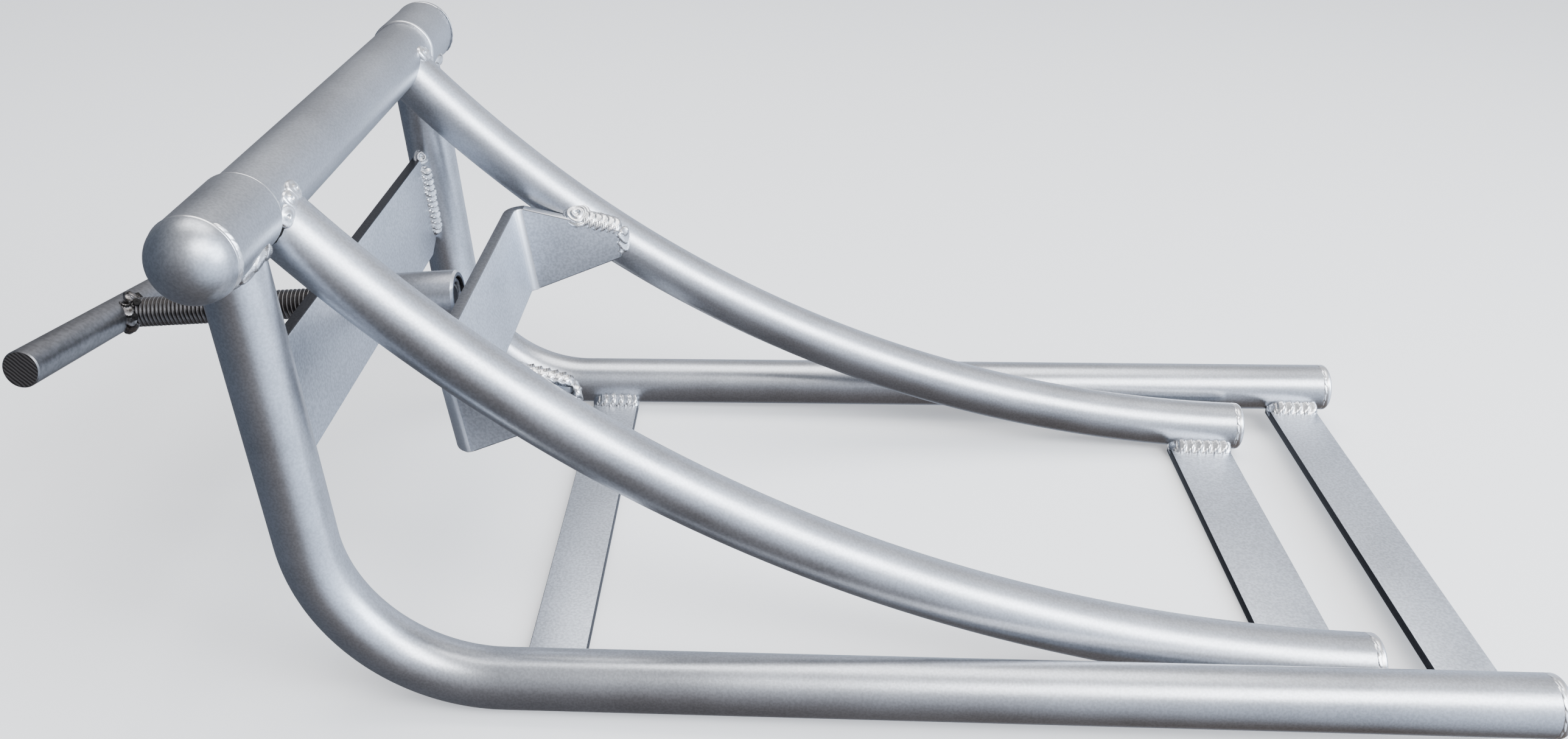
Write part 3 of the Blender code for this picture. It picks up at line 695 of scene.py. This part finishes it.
def bracket():
    """Bent plate: a leaning panel with a wing turned back at each end and a tab below."""
    mid_r = JAW_BEND_R - PLATE_T / 2
    mid_y = JAW_HALF - PLATE_T / 2
    bend_x = mid_r - PLATE_T / 2
    reach = 0.075
    half_height = 0.09
    half_plan = arc(bend_x, mid_y - mid_r, mid_r, math.pi / 2, math.pi, 10)
    plan = [(reach, mid_y)] + half_plan + [(x, -y) for x, y in reversed(half_plan)] + [(reach, -mid_y)]
    drawn_line([(x, y, -half_height) for x, y in plan])
    bpy.ops.mesh.select_all(action='SELECT')
    bpy.ops.mesh.extrude_edges_move(TRANSFORM_OT_translate={"value": (0, 0, 2 * half_height)})
    bpy.ops.object.mode_set(mode='OBJECT')
    sheet = bpy.context.object
    lean = Matrix.Translation((JAW_X, 0, JAW_Z)) @ Matrix.Rotation(-JAW_LEAN, 4, 'Y')
    sheet.data.transform(lean)
    edit_all()
    top_x = JAW_X - (JAW_TOP_Z - JAW_Z) * math.tan(JAW_LEAN)
    wing_top = Vector((WING_END_X - top_x, 0, WING_TOP_Z - JAW_TOP_Z))
    wing_low = Vector((WING_END_X - WING_START_X, 0, WING_BOTTOM_Z - JAW_Z))
    tab_side = Vector((0, TAB_BOTTOM_W - TAB_TOP_W, TAB_BOTTOM_Z - JAW_Z))
    for point, normal, clear in (
            ((top_x, 0, JAW_TOP_Z), (0, 0, 1), True),
            ((top_x, 0, JAW_TOP_Z), (-wing_top.z, 0, wing_top.x), True),
            ((WING_END_X, 0, 0), (1, 0, 0), True),
            ((0, 0, TAB_BOTTOM_Z), (0, 0, -1), True),
            ((WING_START_X, 0, JAW_Z), (wing_low.z, 0, -wing_low.x), False),
            ((0, 0, JAW_Z), (0, 0, -1), False),
            ((0, TAB_TOP_W, JAW_Z), (0, -tab_side.z, tab_side.y), False),
            ((0, -TAB_TOP_W, JAW_Z), (0, tab_side.z, tab_side.y), False)):
        bpy.ops.mesh.select_all(action='SELECT')
        bpy.ops.mesh.bisect(plane_co=point, plane_no=normal, clear_outer=clear)
    bpy.ops.mesh.select_all(action='DESELECT')
    bpy.ops.object.mode_set(mode='OBJECT')
    for face in sheet.data.polygons:
        x, y, z = face.center
        share = (z - JAW_Z) / (TAB_BOTTOM_Z - JAW_Z)
        tab_half = TAB_TOP_W + (TAB_BOTTOM_W - TAB_TOP_W) * share
        wing_floor = JAW_Z + (x - WING_START_X) * wing_low.z / wing_low.x
        off_tab = z < JAW_Z and abs(y) > tab_half
        off_wing = x > WING_START_X and z < wing_floor and abs(y) > TAB_TOP_W
        face.select = off_tab or off_wing
    bpy.ops.object.mode_set(mode='EDIT')
    bpy.ops.mesh.select_mode(type='FACE')
    bpy.ops.mesh.delete(type='FACE')
    bpy.ops.mesh.select_all(action='SELECT')
    bpy.ops.mesh.remove_doubles(threshold=DOUBLES)
    bpy.ops.mesh.normals_make_consistent(inside=False)
    bpy.ops.mesh.dissolve_limited(angle_limit=math.radians(1))
    bpy.ops.object.mode_set(mode='OBJECT')
    add_modifier(sheet, 'SOLIDIFY', thickness=PLATE_T, offset=0, use_even_offset=True)
    add_modifier(sheet, 'BEVEL', width=PLATE_EDGE, segments=3, angle_limit=math.radians(50))

    panel = Vector((math.cos(JAW_LEAN), 0, math.sin(JAW_LEAN)))

    def paint(centre, normal):
        """Blasted on the flats, painted highlight on the wings' top edges and in the bends, dark on the other
        edges.
        """
        flat_on = max(abs(normal.y), abs(normal.dot(panel)))
        if flat_on > 0.985:
            return 0
        if normal.z > 0.8 and centre.x > JAW_X:
            return 2
        in_bend = abs(centre.y) > JAW_HALF - JAW_BEND_R and centre.x < JAW_X + 0.012
        return 2 if in_bend and flat_on > 0.6 and abs(normal.z) < 0.35 else 1

    finish(sheet, "bracket_plate", [PLATE_BLASTED, SHEARED_EDGE, PAINTED_BEND_HIGHLIGHT], "stand", "flat_plate",
           ["jaw_bracket"], paint=paint, smooth=30)


# ---------------------------------------------------------------- clamp

def clamp_place():
    """Where the screw crosses the legs' axes, local Z along it towards the jaw."""
    return STAND @ pointing(SCREW_ORIGIN, ALONG_SCREW)


def boss():
    """Turned boss through the plate: a threaded hole, and a wider guide for the pad at its mouth."""
    front = -PLATE_SET_BACK - PLATE_T + 0.0003
    bore = SCREW_R + THREAD_GAP
    rim = 0.0014
    body = turned([(front, bore), (front, BOSS_R), (BOSS_REACH - rim, BOSS_R), (BOSS_REACH, BOSS_R - rim),
                   (BOSS_REACH, GUIDE_R + 0.0005), (BOSS_REACH - 0.0005, GUIDE_R), (GUIDE_START, GUIDE_R),
                   (GUIDE_START, bore)], closed=True)

    def paint(centre, normal):
        """Painted highlight on the outer rim's chamfer, painted shade inside the guide."""
        radius = math.hypot(centre.x, centre.y)
        if centre.z > BOSS_REACH - rim and radius > BOSS_R - rim and normal.z > 0.2:
            return 1
        return 2 if radius < GUIDE_R + 0.0003 and centre.z > GUIDE_START + 0.0001 else 0

    finish(body, "boss_body", [BOSS_TURNED, GROUND_AND_HIGHLIGHT, BLACK_STEEL_AND_BORE_SHADE], "stand", "boss", ["threaded_boss"],
           clamp_place(), paint=paint)


def pad_and_clip():
    """Turned pad with a dished face, and the open ring that keeps it on the screw's end."""
    back = PAD_FACE - PAD_LEN
    edge = 0.001
    hole = PIN_R + 0.0003
    dish_r = 0.0080
    dish_floor = PAD_FACE - 0.0026
    pad = turned([(back, hole), (back, PAD_R), (PAD_FACE - edge, PAD_R), (PAD_FACE, PAD_R - edge),
                  (PAD_FACE, dish_r + 0.0002), (PAD_FACE - 0.0004, dish_r), (dish_floor, dish_r),
                  (dish_floor, hole)], closed=True)
    finish(pad, "pad_body", [PAD_TURNED], "pad", "pad", ["pressure_pad"], clamp_place())
    deselect()
    bpy.ops.mesh.primitive_torus_add(major_radius=0.0062, minor_radius=0.0007, major_segments=60,
                                     minor_segments=12, location=(0, 0, PAD_FACE - 0.0015))
    clip = bpy.context.object
    edit_all()
    bpy.ops.mesh.select_all(action='DESELECT')
    bpy.ops.object.mode_set(mode='OBJECT')
    for face in clip.data.polygons:
        face.select = abs(math.atan2(face.center.y, face.center.x)) < math.radians(28)
    bpy.ops.object.mode_set(mode='EDIT')
    bpy.ops.mesh.select_mode(type='FACE')
    bpy.ops.mesh.delete(type='FACE')
    finish(tidy_mesh(), "retaining_clip", [CREST_STEEL], "screw", "black_steel", ["pad_clip"], clamp_place())


def clamp_screw():
    """A drawn tooth swept up its helix, round a plain core with a turned-down tip."""
    start = -HANDLE_REACH + HANDLE_R * 0.6
    stop = PAD_FACE - PAD_LEN - 0.0014
    root = SCREW_R - THREAD_DEPTH
    turns = int((stop - start) / PITCH) - 1
    land = PITCH / 10
    drawn_line([(root, 0, start), (root, 0, start + land), (SCREW_R, 0, start + PITCH / 2 - land * 0.7),
                (SCREW_R, 0, start + PITCH / 2 + land * 0.7), (root, 0, start + PITCH)])
    bpy.ops.object.mode_set(mode='OBJECT')
    thread = bpy.context.object
    add_modifier(thread, 'SCREW', angle=math.tau, screw_offset=PITCH, iterations=turns, steps=36,
                 render_steps=36, use_merge_vertices=True, merge_threshold=0.00001)
    edit_all()
    thread = tidy_mesh()

    def paint(centre, _normal):
        """Bright crests, dark roots."""
        return 1 if math.hypot(centre.x, centre.y) > SCREW_R - THREAD_DEPTH * 0.42 else 0

    finish(thread, "screw_thread", [BLACK_STEEL_AND_BORE_SHADE, CREST_STEEL], "screw", "black_steel", place=clamp_place(),
           paint=paint, smooth=25)
    shoulder_r = SCREW_R - 0.0008
    tip = PAD_FACE - 0.0008
    core = turned([(start, 0.0), (start, root), (stop, root), (stop, shoulder_r), (stop + 0.0008, shoulder_r),
                   (stop + 0.0010, PIN_R), (tip - 0.0005, PIN_R), (tip, PIN_R - 0.0005), (tip, 0.0)])
    finish(core, "screw_core", [BLACK_STEEL_AND_BORE_SHADE], "screw", "black_steel", ["clamp_screw"], clamp_place())


def handle_place():
    """Middle of the T bar, local Z along it."""
    across = ACROSS * math.cos(HANDLE_TURN) + ALONG_LEG * math.sin(HANDLE_TURN)
    return STAND @ pointing(SCREW_ORIGIN - ALONG_SCREW * HANDLE_REACH, across, ALONG_SCREW)


def t_handle():
    """Plain round bar across the screw, with sawn ends."""
    half = HANDLE_LEN / 2
    edge = 0.0007
    bar = turned([(-half, 0.0), (-half, HANDLE_R - edge), (edge - half, HANDLE_R), (half - edge, HANDLE_R),
                  (half, HANDLE_R - edge), (half, 0.0)])

    def paint(_centre, normal):
        return 1 if abs(normal.z) > 0.9 else 0

    finish(bar, "t_bar", [MILL_SCALE, SAWN_END], "screw", "raw_steel", ["t_handle"], handle_place(),
           paint=paint)


# ---------------------------------------------------------------- welds

def plate_welds():
    """Down both edges of the screw plate, front and back, with a start at the top of each rear bead."""
    short_of_top = 0.003
    short_of_bottom = 0.009
    for side, sign in SIDES:
        inward = -ACROSS * sign
        for face, offset in (("back", -PLATE_SET_BACK), ("front", -PLATE_SET_BACK - PLATE_T)):
            away = ALONG_SCREW if face == "back" else -ALONG_SCREW
            reach = math.sqrt(TUBE_R ** 2 - offset ** 2)
            up = (away + inward * 0.75).normalized()
            root = Vector((SCREW_ORIGIN.x, sign * RAIL_Y, SCREW_ORIGIN.z)) + ALONG_SCREW * offset
            root += inward * (reach - 0.0002)
            top = root - ALONG_LEG * (PLATE_TOP_Z - SCREW_ORIGIN.z - short_of_top)
            low = root + ALONG_LEG * (SCREW_ORIGIN.z - PLATE_BOTTOM_Z - short_of_bottom)
            weld_bead("plate_weld_%s_%s" % (face, side), [top, low], [up, up], PLATE_BEAD)
        start = Vector((SCREW_ORIGIN.x, sign * RAIL_Y, SCREW_ORIGIN.z)) - ALONG_LEG * (
            PLATE_TOP_Z - SCREW_ORIGIN.z + 0.0010)
        start += inward * TUBE_R - ALONG_SCREW * PLATE_SET_BACK
        weld_button("plate_weld_start_" + side, start, (inward - ALONG_LEG * 0.4 + ALONG_SCREW * 0.6),
                    0.0054, 0.0024, rings=2)


def strap_welds():
    """Short row of ripples on top of each strap end, along the tube, and a thin seam under it."""
    for name, tube_y in (("strap_front", RAIL_Y), ("strap_rear", RAIL_Y), ("strap_middle", CURVE_Y)):
        corners = corners_of(name, INTO_STAND)
        low_x = min(c.x for c in corners)
        high_x = max(c.x for c in corners)
        top = sum(sorted((c.z for c in corners), reverse=True)[:4]) / 4
        axis_z = TUBE_R if tube_y == RAIL_Y else curved_tube_height((low_x + high_x) / 2)
        reach = math.sqrt(TUBE_R ** 2 - (axis_z - top) ** 2)
        for side, sign in SIDES:
            inward = -ACROSS * sign
            up = (inward * 0.8 + Z_AXIS).normalized()
            y = sign * (tube_y - reach - 0.0020)
            path = [(low_x - 0.001, y, top), (high_x + 0.001, y, top)]
            weld_bead("%s_weld_%s" % (name, side), path, [up, up], STRAP_BEAD, pitch=0.0056)
            below = inward * 0.5 - Z_AXIS
            under = (sign * (tube_y - reach + 0.0024), top - 0.0058)
            path = [(low_x + 0.003, *under), (high_x - 0.003, *under)]
            weld_bead("%s_under_%s" % (name, side), path, [below, below], STRAP_SEAM)


def bracket_welds():
    """Along the top of each wing and down its rear edge, against the curved tube."""
    for side, sign in SIDES:
        y = sign * (JAW_HALF - 0.0012)
        # the top bead starts part-way down the wing's slope, where the tube comes up to it
        top_start = Vector((-0.0580, y, 0.1682))
        top_end = Vector((WING_END_X + 0.0008, y, WING_TOP_Z + 0.0004))
        low = Vector((WING_END_X + 0.0004, y, WING_BOTTOM_Z + 0.001))
        up = Vector((0.15, -sign * 0.55, 1))
        back = Vector((1, -sign * 0.45, 0.1))
        weld_bead("wing_weld_top_" + side, [top_start, top_end], [up, up], WING_TOP_BEAD, pitch=0.0042)
        weld_bead("wing_weld_back_" + side, [top_end, low], [back, back], WING_BACK_BEAD, pitch=0.0056)
        weld_button("wing_weld_start_" + side, top_start + Z_AXIS * 0.0012, (0.1, -sign * 0.7, 1),
                    0.0088, 0.0030)


def around_tube(axis_point, heading, radius, toward, spread):
    """Points on part of a ring round a tube, and outward directions that lean along heading."""
    first = toward.normalized()
    second = heading.cross(first).normalized()
    steps = 16
    points = []
    ups = []
    for i in range(steps + 1):
        angle = -spread / 2 + spread * i / steps
        normal = first * math.cos(angle) + second * math.sin(angle)
        points.append(axis_point + normal * radius)
        ups.append(normal + heading * 0.8)
    return points, ups


def saddle(heading, y, spread, centre_angle, main_radius):
    """Where a tube leaves the bar: points on the bar's surface round the tube's own ring.

    Angles run from the stand's middle over the tube's upper side and outwards.
    """
    first = ACROSS * (1 if y < 0 else -1)
    second = heading.cross(ACROSS).normalized()
    steps = 18
    points = []
    ups = []
    for i in range(steps + 1):
        angle = centre_angle - spread / 2 + spread * i / steps
        ring = first * math.cos(angle) + second * math.sin(angle)
        beside = ring * TUBE_R
        along = math.sqrt(max(main_radius ** 2 - beside.x ** 2 - beside.z ** 2, 1e-8))
        point = BAR_AXIS + ACROSS * y + beside + heading * along
        points.append(point)
        radial = Vector((point.x - BAR_X, 0, point.z - BAR_Z)).normalized()
        ups.append(radial + ring)
    return points, ups


def bar_welds():
    """Each leg and curved tube to the bar: tacks on the curved tubes, a bead round the legs."""
    tack_spread = 0.02
    for side, sign in SIDES:
        y = CURVE_Y * sign
        heading = heading_on_curve(BAR_AXIS)
        for number, (angle, size) in enumerate(((86, 0.0056), (112, 0.0050), (138, 0.0058))):
            points, ups = saddle(heading, y, tack_spread, math.radians(angle), BAR_R)
            weld_button("curve_tack_%d_%s" % (number, side), points[0], ups[0], size, 0.0034, rings=1)
        # A near black bead of painted shade in the gap under the curved tube's saddle.
        points, ups = saddle(heading, y, 0.9, math.radians(170), BAR_R)
        weld_bead("curve_gap_" + side, points, ups, CURVE_SEAM, materials=[PAINTED_SHADE_BLACK], crater=False)
        seam = BAR_AXIS + ACROSS * SLEEVE_OUT_Y * sign
        points, ups = around_tube(seam, ACROSS * sign, SLEEVE_R - 0.0004, Vector((1, 0, 0.1)), 1.7)
        weld_bead("dome_weld_" + side, points, ups, DOME_SEAM, materials=[GROUND_AND_HIGHLIGHT], crater=False)
        y = RAIL_Y * sign
        for number, (angle, spread) in enumerate(((100, 150), (280, 110))):
            points, ups = saddle(ALONG_LEG, y, math.radians(spread), math.radians(angle), SLEEVE_R)
            weld_bead("leg_weld_%d_%s" % (number, side), points, ups, LEG_BEAD, pitch=0.0075)


def clamp_welds():
    """Boss to the plate's back, and the dark lumpy weld that holds the T bar on the screw."""
    ring, ups = ring_path(BOSS_R + 0.0004, -PLATE_SET_BACK, 0.015)
    weld_bead("boss_weld_back", ring, ups, BOSS_BEAD, place=clamp_place())
    on_screw = {"place": clamp_place(), "body": "screw", "slot": "raw_steel"}
    for number, turn in enumerate((20, 200)):
        path = []
        ups = []
        for i in range(17):
            angle = math.radians(turn + 150 * i / 16)
            x = math.cos(angle) * SCREW_R
            y = math.sin(angle) * SCREW_R
            on_bar = math.sqrt(max(HANDLE_R ** 2 - x * x, 0))
            path.append((x, y, -HANDLE_REACH + on_bar * 0.96))
            ups.append((x, y, SCREW_R * 0.9))
        # The front of each ripple gets painted shade.
        weld_bead("handle_weld_%d" % number, path, ups, HANDLE_BEAD, pitch=0.0052,
                  materials=[WELD_DARK, PAINTED_SHADE_BLACK], **on_screw)
    for number, angle in enumerate((118, 188, 250)):
        out = Vector((math.cos(math.radians(angle)), math.sin(math.radians(angle)), 0)) * SCREW_R
        centre = out * 1.05 - Z_AXIS * (HANDLE_REACH - HANDLE_R * 0.85)
        lean = out * 1.05 + Z_AXIS * SCREW_R
        weld_button("handle_blob_%d" % number, centre, lean, 0.0036, 0.0024, rings=1, material=WELD_DARK,
                    **on_screw)
    # Near black spots of painted shade in the weld's pits.
    for number, (angle, drop) in enumerate(((207, 0.0), (262, 0.0016))):
        a = math.radians(angle)
        out = Vector((math.cos(a), math.sin(a), 0.7)).normalized()
        centre = out * (SCREW_R + 0.0030) - Z_AXIS * (HANDLE_REACH - HANDLE_R * 0.75 + drop)
        weld_button("handle_pit_%d" % number, centre, out, 0.0025, 0.0010, rings=1, material=PAINTED_SHADE_BLACK, **on_screw)


# ---------------------------------------------------------------- studio

def area_light(name, place, target, size, power, colour=(1, 1, 1)):
    data = bpy.data.lights.new(name, 'AREA')
    data.shape = 'RECTANGLE'
    data.size = size[0]
    data.size_y = size[1]
    data.energy = power
    data.color = colour
    light = bpy.data.objects.new(name, data)
    light.location = place
    light.rotation_euler = (Vector(target) - Vector(place)).to_track_quat('-Z', 'Y').to_euler()
    bpy.context.scene.collection.objects.link(light)


def studio():
    """Pale floor, a sky that is dim low down and on the left and has two cool glows, and three lights."""
    deselect()
    bpy.ops.mesh.primitive_plane_add(size=8, location=(0, 0, CAD_BOX[0][2] - 0.0003))
    floor = bpy.context.object
    floor.name = "studio_floor"
    material, _, _, shader = shader_material("studio_floor", (0.93, 0.93, 0.935), 0.0, 0.85)
    shader.inputs["Emission Color"].default_value = (1, 1, 1, 1)
    shader.inputs["Emission Strength"].default_value = 0.35
    floor.data.materials.append(material)
    floor.visible_glossy = False

    world = bpy.data.worlds.new("studio")
    bpy.context.scene.world = world
    world.use_nodes = True
    nodes = world.node_tree.nodes
    links = world.node_tree.links
    coords = nodes.new("ShaderNodeTexCoord").outputs["Generated"]
    split = nodes.new("ShaderNodeSeparateXYZ")
    links.new(coords, split.inputs[0])
    ramp = nodes.new("ShaderNodeValToRGB")
    links.new(remap(nodes, links, split.outputs["Z"], -1, 1, 0, 1), ramp.inputs[0])
    ramp.color_ramp.elements[0].position = 0.0
    ramp.color_ramp.elements[0].color = (0.15, 0.13, 0.12, 1)
    ramp.color_ramp.elements[1].position = 1.0
    ramp.color_ramp.elements[1].color = (1.0, 1.0, 1.02, 1)
    for position, shade in ((0.40, (0.27, 0.23, 0.21)), (0.52, (0.50, 0.46, 0.45)),
                            (0.7, (0.70, 0.69, 0.71))):
        element = ramp.color_ramp.elements.new(position)
        element.color = (*shade, 1)
    glow = None
    for direction, edge, strength in (((0.34, 0.87, -0.30), 0.62, 0.95), ((0.92, -0.36, 0.12), 0.45, 1.9)):
        dot = nodes.new("ShaderNodeVectorMath")
        dot.operation = 'DOT_PRODUCT'
        dot.inputs[1].default_value = Vector(direction).normalized()
        links.new(coords, dot.inputs[0])
        lobe = remap(nodes, links, dot.outputs["Value"], edge, 1, 0, strength)
        glow = lobe if glow is None else add_up(nodes, links, glow, lobe)
    sky = mix_colour(nodes, links, remap(nodes, links, glow, 0, 2, 0, 1), ramp.outputs[0], (2.0, 2.35, 2.9))
    across = remap(nodes, links, split.outputs["X"], -0.9, 0.35, 0, 1)
    links.new(mix_colour(nodes, links, across, (0.13, 0.155, 0.20), sky), nodes["Background"].inputs["Color"])
    nodes["Background"].inputs["Strength"].default_value = 1.0

    area_light("key", (0.9, -1.2, 1.5), (0, 0, 0.1), (1.3, 0.9), 40, (0.98, 0.99, 1.0))
    area_light("side", (1.7, -0.6, 0.8), (0, 0, 0.15), (1.2, 1.0), 38, (0.86, 0.93, 1.0))
    area_light("top", (0.0, 0.5, 1.9), (0, 0, 0), (1.6, 1.2), 26, (1.0, 1.0, 1.0))


def camera():
    data = bpy.data.cameras.new("camera")
    data.lens = 29.72
    data.sensor_width = 36
    data.shift_x = 0.05445
    data.shift_y = -0.02878
    data.clip_start = 0.01
    view = bpy.data.objects.new("camera", data)
    view.location = (0.0064, -0.6684, 0.4860)
    view.rotation_euler = [math.radians(a) for a in (63.012, 0.228, 3.708)]
    bpy.context.scene.collection.objects.link(view)
    bpy.context.scene.camera = view


top_bar()
tubes()
straps()
screw_plate()
bracket()
boss()
pad_and_clip()
clamp_screw()
t_handle()
plate_welds()
strap_welds()
bracket_welds()
bar_welds()
clamp_welds()
studio()
camera()
